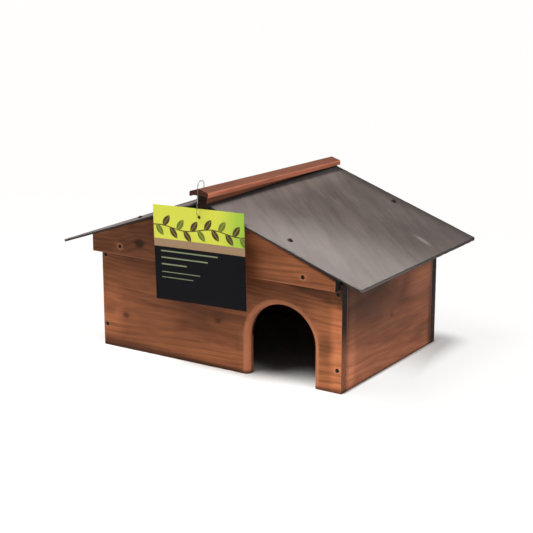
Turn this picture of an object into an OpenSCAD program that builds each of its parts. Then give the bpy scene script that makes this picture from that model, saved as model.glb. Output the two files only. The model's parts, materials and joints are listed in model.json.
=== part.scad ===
// Wooden hedgehog house with a lift-off slate roof.
// X runs left to right, the doorway faces -Y, and Z = 0 is the ground.
// The origin is under the middle of the whole object.

/* [Box] */
// Outside width of the box
box_w = 476; // [400:1:600]
// Outside depth of the box
box_d = 326; // [260:1:400]
// Height of the front and rear panels
panel_h = 178; // [160:1:190]
// How far the side walls stand above the front and rear panels
wall_rise = 23.5; // [20:0.5:40]
// Thickness of every board
board_t = 15; // [12:0.5:18]

/* [Doorway] */
// Width of the arched doorway
door_w = 124; // [100:1:150]
// Height of the doorway at the crown of its arch
door_h = 127; // [105:1:155]
// Distance from the box's right side to the doorway
door_inset = 51; // [35:1:70]
// Radius of the routed round-over on the doorway's front edge
door_round = 9; // [3:0.5:11]

/* [Gable boards] */
// How much wider a gable board is than the box
gable_extra = 4; // [0:1:20]
// Sideways shift of the gable boards as they are nailed on
gable_shift = -5.5; // [-8:0.5:8]
// How far a gable board laps down over the panel behind it
gable_lap = 8; // [5:1:30]
// Clearance between a gable board and the panel behind it
gable_gap = 0.5; // [0.3:0.1:2]

/* [Slates] */
// Width of a slate up the slope
slate_w = 299; // [280:1:360]
// Thickness of a slate
slate_t = 5; // [4:0.5:8]
// Bevel left on a slate's upper edges where they are dressed
slate_bevel = 2; // [0.5:0.5:3]
// Cut across the outer corners of a slate
slate_nip = 5; // [1:0.5:12]
// Slope of the roof in degrees
roof_pitch = 19.3; // [15:0.1:26]
// How far the slates stand out in front of the front panel
slate_front = 38; // [25:1:60]
// How far the slates stand out behind the rear panel
slate_rear = 36; // [25:1:60]

/* [Ridge] */
// Width of the ridge beam
beam_w = 20; // [18:1:30]
// Height of the ridge beam
beam_h = 28; // [24:1:40]
// How much lower the ridge sits at the rear, where its cap meets the slates
ridge_drop = 12; // [0:0.5:14]
// Width of the ridge cap
cap_w = 36; // [32:1:50]
// Height of the ridge cap above the beam
cap_h = 11; // [10:0.5:20]
// How far the ridge cap stands out beyond the slates at each end
cap_over = 7.5; // [4:0.5:12]

/* [Roof battens] */
// Width of a purlin
purlin_w = 20; // [15:1:30]
// Distance from a gable board's end to a purlin's middle
purlin_inset = 59; // [50:1:80]
// Clearance between the roof and the box where it rests
seat_gap = 0.3; // [0.1:0.1:1]

/* [Screws] */
// Diameter of a countersunk head
csk_d = 7; // [6:0.5:8]
// Diameter of a countersunk screw's shank
csk_shank_d = 3.6; // [3:0.1:4.5]
// Length of a countersunk screw
csk_l = 38; // [30:1:45]
// Height of the lower panel screws above the ground
screw_low = 38; // [20:1:60]
// Distance of the upper panel screws from the panel's top edge
screw_drop = 16; // [14:1:60]
// Diameter of a slate screw's domed head
pan_d = 8.5; // [7:0.5:10]
// Height of a slate screw's domed head
pan_h = 3; // [2:0.2:4]
// Distance of the slate screws from the ridge line
slate_screw_x = 147.5; // [100:0.5:180]

/* [Hang tag] */
// Width of the card tag
tag_w = 178; // [120:1:200]
// Height of the card tag
tag_h = 158; // [120:1:180]
// Thickness of the card
tag_t = 0.8; // [0.5:0.1:1.5]
// Distance from the card's top edge to its hole's middle
tag_hole_drop = 14; // [10:0.5:20]
// Sideways distance of the hole from the card's middle
tag_hole_off = 2; // [-4:0.5:4]
// Radius of the hole in the card
tag_hole_r = 3; // [2.6:0.1:4]
// Gap between the slates' front edges and the card
tag_gap = 1; // [0.6:0.1:3]
// Thickness of the plastic loop
loop_d = 1.6; // [1.2:0.1:2]
// Radius of the loop's two bends
loop_r = 8.5; // [8:0.5:12]
// Sideways place of the loop on the ridge
loop_x = -4; // [-6:0.5:6]
// How far the loop arches above the ridge cap
loop_rise = 12.5; // [4:0.5:15]
// Radius of the hole for the loop through the ridge
loop_hole_r = 2.5; // [2:0.1:3]

/* [Hidden] */
$fn = 48;

wood = "#8a5134";
end_wood = "#6d3c26";
slate = "#857c76";
steel = "#3a332f";
clear_plastic = "#d8d8d8";
card = "#c7d84a";

// Facets of the larger curves
fine = 96;

// Clearance of a screw or brad in its hole, and an overshoot for clean cuts
hole_clear = 0.1;
over = 1;

// Shape of the smaller details
cap_crown_r = 5;
cap_side = 8.5;
cap_gap = 0.35;
notch_clear = 0.2;
slate_gap = 0.3;
ridge_short = 1;
pan_shank_d = 4;
pan_l = 30;
pan_rim = 1.05;
recess_w = 0.9;
recess_depth = 1.2;
recess_share = 0.6;
beam_screw_l = 55;
purlin_screw_rise = 7;
brad_d = 2;
brad_head_d = 3.2;
brad_head_h = 1;
brad_sink = 0.3;
brad_l = 32;
brad_edge = 60;
loop_lean = 4;
loop_hang = 1.6;
loop_play = 0.6;
loop_leg_gap = 0.3;
tag_sag = 1.6;

// The loop's front leg passes in front of the ridge cap and is the foremost point of the
// object; the loop goes through the card near the bottom of its lower bend.
card_mid = tag_gap + tag_t / 2;
loop_mid = cap_over + loop_leg_gap + loop_d / 2 - loop_r;
loop_cross_angle = asin((card_mid - loop_mid) / loop_r);
stand = loop_mid + loop_r + loop_d / 2;

// Lengths along the ridge, and places along Y from the slates' front edges back
slate_l = slate_front + box_d + slate_rear;
ridge_l = slate_l - ridge_short;
dip_angle = asin(ridge_drop / slate_l);
tail = (slate_l + cap_over) * cos(dip_angle) + cap_h * sin(dip_angle);
slate_y = -(tail - stand) / 2;
front_y = slate_y + slate_front;
rear_y = front_y + box_d;
gable_front_y = front_y - gable_gap - board_t;
gable_rear_y = rear_y + gable_gap;
card_y = slate_y - card_mid;
loop_y = slate_y - loop_mid;

// Roof heights: the slates rest on the side walls' bevelled top edges
wall_h = panel_h + wall_rise;
screw_high = panel_h - screw_drop;
slope = tan(roof_pitch);
apex_z = wall_h + seat_gap + box_w / 2 * slope + slate_t / cos(roof_pitch);
slate_x = beam_w / 2 + slate_gap + slate_t * sin(roof_pitch);
function top_z(x) = apex_z - abs(x) * slope;
function under_z(x) = top_z(x) - slate_t / cos(roof_pitch);
beam_top_z = top_z(beam_w / 2) + cap_gap + ridge_drop;
slate_screw_u = (slate_screw_x - slate_x) / cos(roof_pitch);

// Gable boards and purlins
gable_w = box_w + gable_extra;
gable_z = panel_h - gable_lap;
gable_left = gable_shift - gable_w / 2;
gable_right = gable_shift + gable_w / 2;
purlin_z = panel_h + seat_gap;
purlin_x = gable_w / 2 - purlin_inset;

// Doorway
door_x = box_w / 2 - door_inset - door_w / 2;
arch_r = door_w / 2;
spring_z = door_h - arch_r;

// Loop and tag heights
lower_bend_z = beam_top_z - beam_h + loop_hang;
upper_bend_z = beam_top_z + cap_h + loop_rise - loop_r;
cross_z = lower_bend_z - loop_r * cos(loop_cross_angle);
hole_to_middle = tag_h / 2 - tag_hole_drop + tag_sag;
tag_tilt = atan(tag_hole_off / hole_to_middle);

// Extrudes an outline drawn in X and Z along Y
module along_y(y0, depth) {
    translate([0, y0 + depth, 0])
        rotate([90, 0, 0])
            linear_extrude(depth) children();
}

// Places a shape on a slate: X runs down the slope, Y to the rear, Z = 0 is its top face
module on_slate(side) {
    mirror([side < 0 ? 1 : 0, 0, 0])
        translate([slate_x, slate_y, top_z(slate_x)])
            rotate([0, roof_pitch, 0]) children();
}

// Places a shape on the ridge: Y runs to the rear, Z = 0 is the beam's top face
module on_ridge() {
    translate([0, slate_y, beam_top_z])
        rotate([-dip_angle, 0, 0]) children();
}

// Places a shape in the loop's leaning plane: Y runs to the rear from the loop's middle
module on_loop() {
    translate([loop_x, loop_y, cross_z])
        rotate([0, loop_lean, 0])
            translate([0, 0, -cross_z]) children();
}

// Cross recess in the top of a screw head
module cross_recess(size) {
    for (turn = [0, 90])
        rotate([0, 0, turn])
            translate([-size / 2, -recess_w / 2, -recess_depth])
                cube([size, recess_w, recess_depth + over]);
}

// Countersunk screw: its flat head ends at Z = 0 and it points down
module csk_body(length, extra) {
    sink = (csk_d - csk_shank_d) / 2;
    translate([0, 0, -sink - extra])
        cylinder(h = sink, d1 = csk_shank_d + 2 * extra, d2 = csk_d + 2 * extra);
    translate([0, 0, -length])
        cylinder(h = length - sink, d = csk_shank_d + 2 * extra);
}

module csk_screw(length) {
    difference() {
        csk_body(length, 0);
        cross_recess(csk_d * recess_share);
    }
}

module csk_hole(length) {
    csk_body(length + hole_clear, hole_clear);
    translate([0, 0, -hole_clear])
        cylinder(h = over, d = csk_d + 2 * hole_clear);
}

// Domed screw: its head stands on Z = 0 and it points down
module pan_screw() {
    difference() {
        union() {
            rotate_extrude() pan_outline();
            translate([0, 0, -pan_l])
                cylinder(h = pan_l, d = pan_shank_d);
        }
        translate([0, 0, pan_h]) cross_recess(pan_d * recess_share);
    }
}

// Half outline of a domed head: a short rim under an arc
module pan_outline() {
    rise = pan_h - pan_rim;
    dome_r = (pow(pan_d / 2, 2) + pow(rise, 2)) / (2 * rise);
    square([pan_d / 2, pan_rim]);
    intersection() {
        translate([0, pan_rim]) square([pan_d / 2, rise]);
        translate([0, pan_h - dome_r]) circle(dome_r, $fn = fine);
    }
}

module pan_hole() {
    translate([0, 0, -pan_l - hole_clear])
        cylinder(h = pan_l + hole_clear + over, d = pan_shank_d + 2 * hole_clear);
}

// Spots of the fasteners: each places its children with Z = 0 at the head
module front_panel_spots() {
    for (x = [-1, 1] * (box_w - board_t) / 2, z = [screw_low, screw_high])
        translate([x, front_y, z]) rotate([90, 0, 0]) children();
}

module rear_panel_spots() {
    for (x = [-1, 1] * (box_w - board_t) / 2, z = [screw_low, screw_high])
        translate([x, rear_y, z]) rotate([-90, 0, 0]) children();
}

module front_gable_spots() {
    for (x = [-1, 1] * purlin_x)
        translate([gable_shift + x, gable_front_y, purlin_z + purlin_screw_rise])
            rotate([90, 0, 0]) children();
}

module rear_gable_spots() {
    for (x = [-1, 1] * purlin_x)
        translate([gable_shift + x, gable_rear_y + board_t, purlin_z + purlin_screw_rise])
            rotate([-90, 0, 0]) children();
}

module slate_spots(side) {
    for (y = [gable_front_y, gable_rear_y])
        on_slate(side)
            translate([slate_screw_u, y + board_t / 2 - slate_y, 0]) children();
}

module beam_spots() {
    for (y = [gable_front_y, gable_rear_y])
        on_ridge() translate([0, y + board_t / 2 - slate_y, 0]) children();
}

module brad_spots() {
    for (y = [brad_edge, ridge_l / 2, ridge_l - brad_edge])
        on_ridge() translate([0, y, cap_h - brad_sink]) children();
}

// Outline of the doorway, an arch on straight jambs
module door_outline() {
    translate([door_x - arch_r, -over]) square([door_w, spring_z + over]);
    translate([door_x, spring_z]) circle(arch_r, $fn = fine);
}

// Waste that a quarter-round cutter takes off an edge at the origin
module round_waste() {
    difference() {
        translate([-over, -over]) square(door_round + over);
        translate([door_round, door_round]) circle(door_round);
    }
}

// Everything the router takes off the doorway's front edge
module door_round_over() {
    translate([door_x, front_y, spring_z])
        rotate([-90, 0, 0])
            rotate_extrude($fn = fine) translate([arch_r, 0]) round_waste();
    for (side = [0, 1])
        translate([door_x, front_y, -over])
            mirror([side, 0, 0])
                linear_extrude(spring_z + over)
                    translate([arch_r, 0]) round_waste();
}

module front_panel() {
    color(wood)
        difference() {
            along_y(front_y, board_t)
                difference() {
                    translate([-box_w / 2, 0]) square([box_w, panel_h]);
                    door_outline();
                }
            door_round_over();
            front_panel_spots() csk_hole(csk_l);
        }
}

module rear_panel() {
    color(wood)
        difference() {
            along_y(rear_y - board_t, board_t)
                translate([-box_w / 2, 0]) square([box_w, panel_h]);
            rear_panel_spots() csk_hole(csk_l);
        }
}

// A side wall stands between the panels, its top edge bevelled to the slates
module side_wall(side) {
    color(wood)
        difference() {
            mirror([side < 0 ? 1 : 0, 0, 0])
                along_y(front_y + board_t, box_d - 2 * board_t)
                    polygon([
                        [box_w / 2 - board_t, 0],
                        [box_w / 2, 0],
                        [box_w / 2, wall_h],
                        [box_w / 2 - board_t, wall_h + board_t * slope]
                    ]);
            front_panel_spots() csk_hole(csk_l);
            rear_panel_spots() csk_hole(csk_l);
        }
}

module left_wall() {
    side_wall(-1);
}

module right_wall() {
    side_wall(1);
}

module front_panel_screws() {
    color(steel) front_panel_spots() csk_screw(csk_l);
}

module rear_panel_screws() {
    color(steel) rear_panel_spots() csk_screw(csk_l);
}

// A gable board follows the slates' undersides and is notched for the ridge beam
module gable_board(y0) {
    difference() {
        along_y(y0, board_t)
            polygon([
                [gable_left, gable_z],
                [gable_right, gable_z],
                [gable_right, under_z(gable_right)],
                [0, under_z(0)],
                [gable_left, under_z(gable_left)]
            ]);
        on_ridge()
            translate([-beam_w / 2 - notch_clear / 2, -over, -beam_h])
                cube([beam_w + notch_clear, slate_l + 2 * over, beam_h + cap_h]);
        slate_spots(-1) pan_hole();
        slate_spots(1) pan_hole();
        beam_spots() csk_hole(beam_screw_l);
    }
}

module front_gable() {
    color(wood)
        difference() {
            gable_board(gable_front_y);
            front_gable_spots() csk_hole(csk_l);
        }
}

module rear_gable() {
    color(wood)
        difference() {
            gable_board(gable_rear_y);
            rear_gable_spots() csk_hole(csk_l);
        }
}

module front_gable_screws() {
    color(steel) front_gable_spots() csk_screw(csk_l);
}

module rear_gable_screws() {
    color(steel) rear_gable_spots() csk_screw(csk_l);
}

// A purlin ties the gable boards together and carries a slate
module purlin(x) {
    inner = x - purlin_w / 2;
    outer = x + purlin_w / 2;
    color(end_wood)
        difference() {
            along_y(gable_front_y + board_t, gable_rear_y - gable_front_y - board_t)
                polygon([
                    [inner, purlin_z],
                    [outer, purlin_z],
                    [outer, under_z(outer)],
                    [inner, under_z(inner)]
                ]);
            front_gable_spots() csk_hole(csk_l);
            rear_gable_spots() csk_hole(csk_l);
        }
}

module left_purlin() {
    purlin(gable_shift - purlin_x);
}

module right_purlin() {
    purlin(gable_shift + purlin_x);
}

// A slate is dressed with a bevel along its three open edges and nipped outer corners
module slate_sheet(side) {
    color(slate)
        difference() {
            on_slate(side)
                intersection() {
                    rotate([90, 0, 0])
                        translate([0, 0, -slate_l])
                            linear_extrude(slate_l)
                                polygon([
                                    [0, -slate_t],
                                    [slate_w, -slate_t],
                                    [slate_w, -slate_bevel],
                                    [slate_w - slate_bevel, 0],
                                    [0, 0]
                                ]);
                    rotate([90, 0, 90])
                        linear_extrude(slate_w)
                            polygon([
                                [0, -slate_t],
                                [slate_l, -slate_t],
                                [slate_l, -slate_bevel],
                                [slate_l - slate_bevel, 0],
                                [slate_bevel, 0],
                                [0, -slate_bevel]
                            ]);
                    translate([0, 0, -slate_t])
                        linear_extrude(slate_t)
                            polygon([
                                [0, 0],
                                [slate_w - slate_nip, 0],
                                [slate_w, slate_nip],
                                [slate_w, slate_l - slate_nip],
                                [slate_w - slate_nip, slate_l],
                                [0, slate_l]
                            ]);
                }
            slate_spots(side) pan_hole();
        }
}

module left_slate() {
    slate_sheet(-1);
}

module right_slate() {
    slate_sheet(1);
}

module left_slate_screws() {
    color(steel) slate_spots(-1) pan_screw();
}

module right_slate_screws() {
    color(steel) slate_spots(1) pan_screw();
}

// Hole down through the ridge for the rear leg of the tag's loop
module loop_hole() {
    on_loop()
        translate([0, loop_r + loop_hole_r - loop_d / 2 - loop_play, beam_top_z - beam_h - over])
            cylinder(h = beam_h + cap_h + 2 * over, r = loop_hole_r);
}

module ridge_beam() {
    color(end_wood)
        difference() {
            on_ridge()
                translate([-beam_w / 2, ridge_short, -beam_h])
                    cube([beam_w, ridge_l, beam_h]);
            beam_spots() csk_hole(beam_screw_l);
            brad_spots() brad_hole();
            loop_hole();
        }
}

// Rounded crown on two sloping flanks, with lips that hang down along the slates
module cap_outline() {
    half = cap_w / 2;
    lip = (half - beam_w / 2) * slope;
    side_top = cap_side - lip;
    crown_z = cap_h - cap_crown_r;
    span = norm([half, side_top - crown_z]);
    touch = atan2(side_top - crown_z, half) + acos(cap_crown_r / span);
    touch_x = cap_crown_r * cos(touch);
    touch_z = crown_z + cap_crown_r * sin(touch);
    polygon([
        [-beam_w / 2, 0],
        [beam_w / 2, 0],
        [half, -lip],
        [half, side_top],
        [touch_x, touch_z],
        [-touch_x, touch_z],
        [-half, side_top],
        [-half, -lip]
    ]);
    translate([0, crown_z]) circle(cap_crown_r);
}

module ridge_cap() {
    color(wood)
        difference() {
            on_ridge() along_y(-cap_over, slate_l + 2 * cap_over) cap_outline();
            brad_spots() brad_hole();
            loop_hole();
        }
}

module ridge_beam_screws() {
    color(steel) beam_spots() csk_screw(beam_screw_l);
}

// Brad with a small flat head that ends at Z = 0
module brad() {
    translate([0, 0, -brad_head_h]) cylinder(h = brad_head_h, d = brad_head_d);
    translate([0, 0, -brad_l]) cylinder(h = brad_l - brad_head_h, d = brad_d);
}

module brad_hole() {
    translate([0, 0, -brad_head_h - hole_clear])
        cylinder(h = brad_head_h + hole_clear + over, d = brad_head_d + 2 * hole_clear);
    translate([0, 0, -brad_l - hole_clear])
        cylinder(h = brad_l, d = brad_d + 2 * hole_clear);
}

module ridge_cap_brads() {
    color(steel) brad_spots() brad();
}

// Half ring of the loop, its open side down
module loop_bend() {
    rotate([0, 90, 0])
        rotate([0, 0, 90])
            rotate_extrude(angle = 180) translate([loop_r, 0]) circle(d = loop_d);
}

// Closed plastic loop: down through the ridge, forward under its end and through the
// card's hole, and up in front of the cap and back over it
module tag_loop() {
    color(clear_plastic)
        on_loop() {
            translate([0, 0, upper_bend_z]) loop_bend();
            translate([0, 0, lower_bend_z]) mirror([0, 0, 1]) loop_bend();
            for (y = [-loop_r, loop_r])
                translate([0, y, lower_bend_z])
                    cylinder(h = upper_bend_z - lower_bend_z, d = loop_d);
        }
}

// The card hangs from its hole with its middle straight below the loop
module hang_tag() {
    color(card)
        translate([loop_x, card_y, cross_z])
            rotate([0, -tag_tilt, 0])
                translate([-tag_hole_off, 0, -hole_to_middle])
                    difference() {
                        cube([tag_w, tag_t, tag_h], center = true);
                        translate([tag_hole_off, 0, tag_h / 2 - tag_hole_drop])
                            rotate([90, 0, 0])
                                cylinder(h = tag_t + 2 * over, r = tag_hole_r, center = true);
                    }
}

front_panel();
rear_panel();
left_wall();
right_wall();
front_panel_screws();
rear_panel_screws();
front_gable();
rear_gable();
front_gable_screws();
rear_gable_screws();
left_purlin();
right_purlin();
left_slate();
right_slate();
left_slate_screws();
right_slate_screws();
ridge_beam();
ridge_cap();
ridge_beam_screws();
ridge_cap_brads();
tag_loop();
hang_tag();
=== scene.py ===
import json
import math

import bmesh
import bpy
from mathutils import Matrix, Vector, noise

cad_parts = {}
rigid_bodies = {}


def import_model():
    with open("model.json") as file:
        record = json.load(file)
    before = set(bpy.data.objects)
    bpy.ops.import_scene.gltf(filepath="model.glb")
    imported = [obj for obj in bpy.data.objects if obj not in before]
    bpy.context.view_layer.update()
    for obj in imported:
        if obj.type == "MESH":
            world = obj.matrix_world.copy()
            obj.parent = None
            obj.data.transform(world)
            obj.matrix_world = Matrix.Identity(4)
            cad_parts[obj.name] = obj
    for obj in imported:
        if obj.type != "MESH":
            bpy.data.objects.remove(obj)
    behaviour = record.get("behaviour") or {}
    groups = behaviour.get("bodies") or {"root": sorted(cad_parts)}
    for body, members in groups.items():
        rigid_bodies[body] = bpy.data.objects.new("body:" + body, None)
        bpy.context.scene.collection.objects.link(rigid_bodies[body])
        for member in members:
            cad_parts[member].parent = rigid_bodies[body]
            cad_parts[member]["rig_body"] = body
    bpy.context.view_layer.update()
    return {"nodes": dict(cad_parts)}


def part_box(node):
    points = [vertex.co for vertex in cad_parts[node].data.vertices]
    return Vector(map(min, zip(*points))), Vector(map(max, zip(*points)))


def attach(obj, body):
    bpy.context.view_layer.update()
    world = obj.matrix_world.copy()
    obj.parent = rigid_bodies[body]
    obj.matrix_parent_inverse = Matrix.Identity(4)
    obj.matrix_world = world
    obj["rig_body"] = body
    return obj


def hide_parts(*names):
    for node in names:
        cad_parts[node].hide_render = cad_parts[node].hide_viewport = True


# Hedgehog house in stained softwood and slate, on a white studio sweep.
# The doorway faces -Y. Lengths are in metres, and patterns and prints are laid out in millimetres.

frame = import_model()
nodes = frame["nodes"]
noise.seed_set(3)  # the boards' unevenness would start from the clock without it

xAxis, yAxis, zAxis = Vector((1, 0, 0)), Vector((0, 1, 0)), Vector((0, 0, 1))
roofPitch = 19.3  # degrees
noDepth = 1e6  # a scale that takes the depth out of a mask
noiseLow, noiseHigh = 0.3, 0.7  # the range that most of a noise lies in

# settings that many nodes share
softStep = {"interpolation_type": "SMOOTHSTEP"}
colourMix = {"data_type": "RGBA"}


def srgb(code):
    # sRGB hex to the linear colour that a shader takes
    parts = [int(code[i:i + 2], 16) / 255 for i in (1, 3, 5)]
    return [c / 12.92 if c <= 0.04045 else ((c + 0.055) / 1.055) ** 2.4 for c in parts] + [1]


def repeats(lengths):
    # the Mapping node's scale for pattern lengths in mm
    return [1 / length for length in lengths]


def addNode(tree, kind, settings=None, links=None, out=0):
    # Options are lower case, sockets are named or numbered; gives back one output.
    # Map Range reads from 1 to 2 and gives 3 to 4, and a colour Mix goes from 6 to 7.
    node = tree.nodes.new("ShaderNode" + kind)
    for key, value in (settings or {}).items():
        if key == "stops":
            ramp = node.color_ramp
            while len(ramp.elements) < len(value):
                ramp.elements.new(0.5)
            for element, (place, colour) in zip(ramp.elements, value):
                element.position = place
                element.color = colour
        elif isinstance(key, str) and key.islower():
            setattr(node, key, value)
        else:
            node.inputs[key].default_value = value
    for key, source in (links or {}).items():
        tree.links.new(source, node.inputs[key])
    return node.outputs[out]


def raggedEdge(tree, reach, pattern, amount):
    # a distance made uneven, so that the edge of a mask wanders
    uneven = addNode(tree, "Math", {"operation": "MULTIPLY_ADD", 1: amount, 2: -amount / 2}, {0: pattern})
    return addNode(tree, "Math", {"operation": "ADD"}, {0: reach, 1: uneven})


def newMaterial(name):
    # an empty material with its surface shader and output joined
    material = bpy.data.materials.new(name)
    material.use_nodes = True
    tree = material.node_tree
    tree.nodes.clear()
    surface = addNode(tree, "BsdfPrincipled")
    output = tree.nodes.new("ShaderNodeOutputMaterial")
    tree.links.new(surface, output.inputs["Surface"])
    return material, tree, surface.node


def solidCopy(node):
    # the CAD node's shape as one closed mesh with whole faces
    mesh = bmesh.new()
    mesh.from_mesh(nodes[node].data)
    bmesh.ops.remove_doubles(mesh, verts=mesh.verts, dist=1e-5)
    bmesh.ops.dissolve_limit(mesh, angle_limit=math.radians(0.2), verts=mesh.verts, edges=mesh.edges)
    return mesh


def sliceAt(mesh, axis, place):
    # one cut through everything, square to the axis
    everything = mesh.verts[:] + mesh.edges[:] + mesh.faces[:]
    bmesh.ops.bisect_plane(mesh, geom=everything, dist=1e-6, plane_co=axis * place, plane_no=axis)


def sliceEvenly(mesh, axis, start, end, step):
    # cuts fine enough for the mesh to be shaped
    count = max(1, round((end - start) / step))
    for i in range(1, count):
        sliceAt(mesh, axis, start + (end - start) * i / count)


def keepInside(vert, low, high):
    # nothing may stand out of the piece's own box
    vert.co = Vector(min(max(c, a), b) for c, a, b in zip(vert.co, low, high))


def placePiece(name, mesh, material, node, smoothAngle=40):
    # turns the bmesh into an object that rides where its CAD node does
    data = bpy.data.meshes.new(name)
    mesh.to_mesh(data)
    mesh.free()
    data.materials.append(material)
    piece = bpy.data.objects.new(name, data)
    bpy.context.scene.collection.objects.link(piece)
    data.shade_smooth()
    data.set_sharp_from_angle(angle=math.radians(smoothAngle))
    normals = piece.modifiers.new("evenNormals", "WEIGHTED_NORMAL")
    normals.keep_sharp = True
    normals.weight = 90
    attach(piece, nodes[node]["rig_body"])
    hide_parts(node)


print("stage: frame loaded,", len(nodes), "nodes")


doorway = {
    "x": 0.125, "spring": 0.065, "radius": 0.062, "round": 0.009, "wear": 0.8, "topWear": 0.35,
    "faceFade": 0.0015, "depthFade": 0.001,
}


def routedEdge(tree, sides):
    # 1 on the quarter round that the router left about the doorway, 0 elsewhere
    across = addNode(tree, "Math", {"operation": "SUBTRACT", 1: doorway["x"]}, {0: sides["X"]})
    above = addNode(tree, "Math", {"operation": "SUBTRACT", 1: doorway["spring"]}, {0: sides["Z"]})
    above = addNode(tree, "Math", {"operation": "MAXIMUM", 1: 0}, {0: above})
    spot = addNode(tree, "CombineXYZ", {}, {0: across, 1: above})
    reach = addNode(tree, "VectorMath", {"operation": "LENGTH"}, {0: spot}, out=1)
    rim = doorway["radius"] + doorway["round"]
    ring = addNode(tree, "MapRange", {1: rim, 2: rim + doorway["faceFade"], 3: doorway["wear"], 4: 0},
                   {0: reach})
    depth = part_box("front_panel")[0].y + doorway["round"]
    shallow = addNode(tree, "MapRange", {1: depth - doorway["depthFade"], 2: depth + doorway["depthFade"],
                                         3: 1, 4: 0}, {0: sides["Y"]})
    ring = addNode(tree, "Math", {"operation": "MULTIPLY"}, {0: ring, 1: shallow})
    # painted shade: the pale ring is less pale towards the arch's top, which lies in the roof's shade
    handled = addNode(tree, "MapRange", {1: doorway["spring"], 2: doorway["spring"] + doorway["radius"],
                                         3: 1, 4: doorway["topWear"]}, {0: sides["Z"]})
    return addNode(tree, "Math", {"operation": "MULTIPLY"}, {0: ring, 1: handled})


# what all the stained wood shares: pattern lengths along, across and through a board, and fades
pine = {
    "wander": (260, 75, 75), "sway": (0, 26, 16), "streak": (170, 6, 6), "blotch": (100, 40, 40),
    "fibre": (45, 1.5, 1.5),  # fibres are some 0.1 mm wide; drawn at 1.5 mm so that they show
    "ragged": (7, 5, 5), "rings": [(0, 0.25), (0.16, 0.8), (0.6, 0.62), (0.92, 0.05), (1, 0.25)],
    "deepAt": 0.3, "midAt": 0.5, "paleAt": 0.68,
    "knotLength": 1.5, "knotRagged": 0.7, "knotFrom": 0.5, "knotTo": 1.5,
    "pushFrom": 0.4, "pushTo": 4.5, "push": 0.7, "patchRagged": 0.8, "patchFrom": 0.3, "patchTo": 1.4,
    "tornRagged": 5, "tornFrom": 4.5, "tornTo": 7.5, "wornLeast": 0.6, "wornFull": 0.6,
    "uprightFrom": 0.55, "uprightTo": 0.85, "endFrom": 0.3, "endTo": 0.72, "soakFrom": 45, "soakTo": 115,
    "footFrom": 2, "footShare": 0.75, "dull": 0.1, "slick": 0.08,
    "fibreRelief": 0.6, "bump": 0.5, "bumpDepth": 0.00025,
}


def growthRings(tree, look, mm, grain, ragged):
    # rings round a pith that lies behind the board and runs out of it slowly, and the knots they bend round
    pith = addNode(tree, "Mapping", {"Location": (0, *look["pith"]), "Rotation": look["runOut"]}, {0: grain})
    flat = addNode(tree, "VectorMath", {"operation": "MULTIPLY", 1: (0, 1, 1)}, {0: pith})
    radius = addNode(tree, "VectorMath", {"operation": "LENGTH"}, {0: flat}, out=1)
    knotTone = None
    for along, across, size, strength in look["knots"]:
        length = pine["knotLength"] * size
        fromKnot = addNode(tree, "Mapping", {"Location": (-along / length, -across / size, 0),
                                             "Scale": (1 / length, 1 / size, 0)}, {0: mm})
        reach = addNode(tree, "VectorMath", {"operation": "LENGTH"}, {0: fromKnot}, out=1)
        edge = raggedEdge(tree, reach, ragged, pine["knotRagged"])
        bulge = addNode(tree, "MapRange", {**softStep, 1: pine["pushFrom"], 2: pine["pushTo"],
                                           3: pine["push"] * size, 4: 0}, {0: reach})
        radius = addNode(tree, "Math", {"operation": "ADD"}, {0: radius, 1: bulge})
        heart = addNode(tree, "MapRange", {**softStep, 1: pine["knotFrom"], 2: pine["knotTo"],
                                           3: strength, 4: 0}, {0: edge})
        knotTone = heart if knotTone is None else addNode(tree, "Math", {"operation": "MAXIMUM"},
                                                          {0: knotTone, 1: heart})
    turns = addNode(tree, "Math", {"operation": "DIVIDE", 1: look["ringWidth"]}, {0: radius})
    part = addNode(tree, "Math", {"operation": "FRACT"}, {0: turns})
    ring = addNode(tree, "ValToRGB", {"stops": [(at, (grey, grey, grey, 1)) for at, grey in pine["rings"]]},
                   {0: part})
    return ring, knotTone


def shadedByRoof(tree, under, sides, colour):
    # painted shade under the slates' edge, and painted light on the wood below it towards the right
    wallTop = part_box("right_wall")[1]
    fall = math.tan(math.radians(roofPitch))
    wide = addNode(tree, "Math", {"operation": "ABSOLUTE"}, {0: sides["X"]})
    drop = addNode(tree, "Math", {"operation": "MULTIPLY_ADD", 1: fall}, {0: wide, 2: sides["Z"]})
    below = addNode(tree, "Math", {"operation": "SUBTRACT", 0: wallTop.z + wallTop.x * fall}, {1: drop})
    lean = addNode(tree, "Math", {"operation": "MULTIPLY_ADD", 1: -under["lean"]}, {0: sides["X"], 2: below})
    soot = addNode(tree, "MapRange", {**softStep, 1: under["depth"] - under["fade"],
                                      2: under["depth"] + under["fade"], 3: under["tone"], 4: 1}, {0: lean})
    colour = addNode(tree, "VectorMath", {"operation": "SCALE"}, {0: colour, "Scale": soot})
    pale = addNode(tree, "MapRange", {**softStep, 1: under["paleFrom"], 2: under["paleTo"],
                                      3: 1, 4: under["pale"]}, {0: sides["X"]})
    pale = addNode(tree, "MapRange", {**softStep, 1: under["paleTop"], 2: under["paleFoot"], 4: 1},
                   {0: below, 3: pale})
    return addNode(tree, "VectorMath", {"operation": "SCALE"}, {0: colour, "Scale": pale})


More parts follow.
